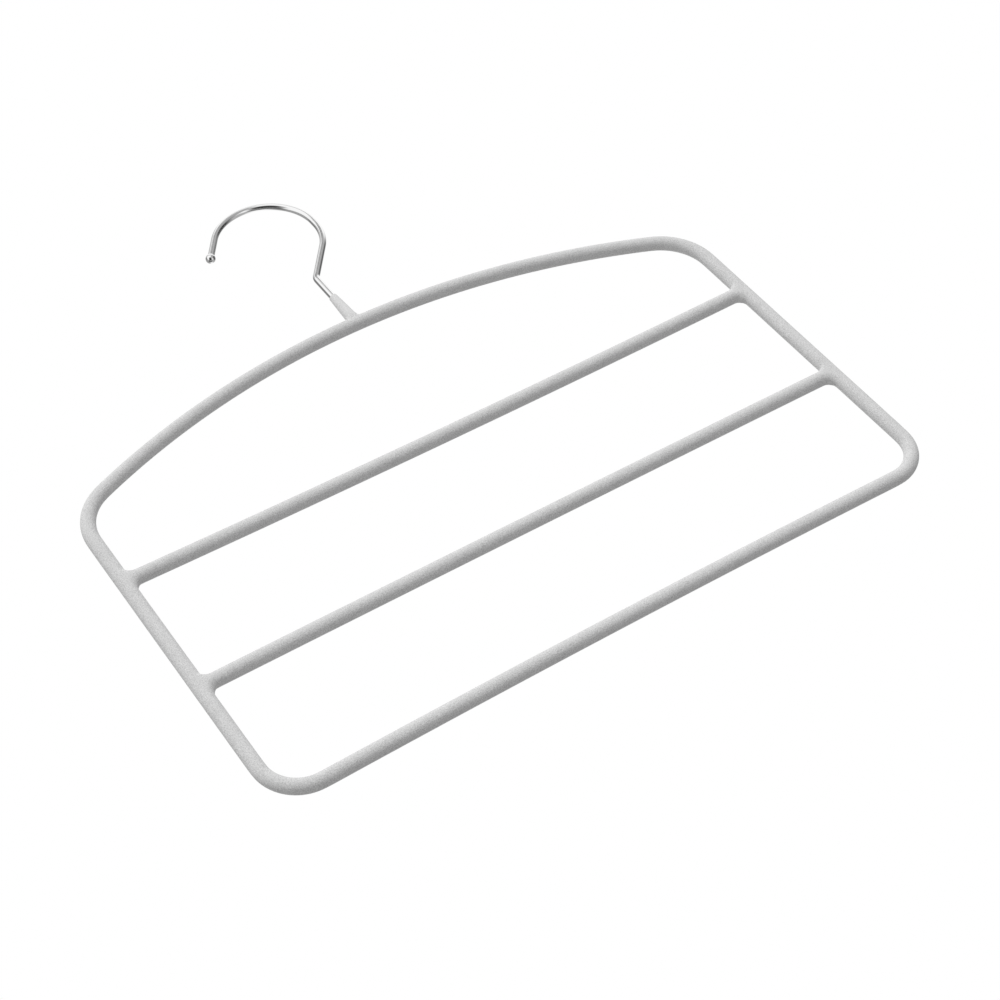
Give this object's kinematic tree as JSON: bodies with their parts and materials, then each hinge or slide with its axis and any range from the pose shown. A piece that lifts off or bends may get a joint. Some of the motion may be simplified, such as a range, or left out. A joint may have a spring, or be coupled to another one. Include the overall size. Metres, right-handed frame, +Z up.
{
  "type": "multi-tier trouser hanger",
  "caption": "Flat trouser hanger: a flock-coated rod frame with an arched top, straight sides and stacked cross tiers, hung from a swivelling chromed wire hook with a ball tip.",
  "frame": {"origin": "inner face of the hook where it sits on a wardrobe rail, on the swivel axis", "axes": "+Z up along the hook's stem, +X to the right along the tiers with the hook opening towards -X, +Y to the back across the flat frame"},
  "size_m": [0.36, 0.0074, 0.3464],
  "materials": {
    "chrome": "polished chrome plate on steel wire",
    "flocked_ferrule": "steel with a thin light grey flock finish",
    "steel": "plain drawn steel, hidden under the coat",
    "weld": "weld metal, hidden under the coat",
    "flock": "matt light grey velvet flock"
  },
  "bodies": {
    "hook": {"hook_wire": "chrome", "hook_ball": "chrome"},
    "frame": {"hook_ferrule": "flocked_ferrule", "ferrule_weld": "weld", "outline_rod": "steel", "closing_weld": "weld", "upper_tier_rod": "steel", "lower_tier_rod": "steel", "upper_left_weld": "weld", "upper_right_weld": "weld", "lower_left_weld": "weld", "lower_right_weld": "weld", "arch_coat": "flock", "left_side_coat": "flock", "right_side_coat": "flock", "bottom_tier_coat": "flock", "upper_tier_coat": "flock", "lower_tier_coat": "flock", "upper_left_joint_coat": "flock", "upper_right_joint_coat": "flock", "lower_left_joint_coat": "flock", "lower_right_joint_coat": "flock"}
  },
  "joints": [
    {"name": "frame_swivel", "type": "hinge", "parent": "hook", "child": "frame", "pos_m": [0, 0, -0.082], "axis": [0, 0, 1], "continuous": true}
  ]
}
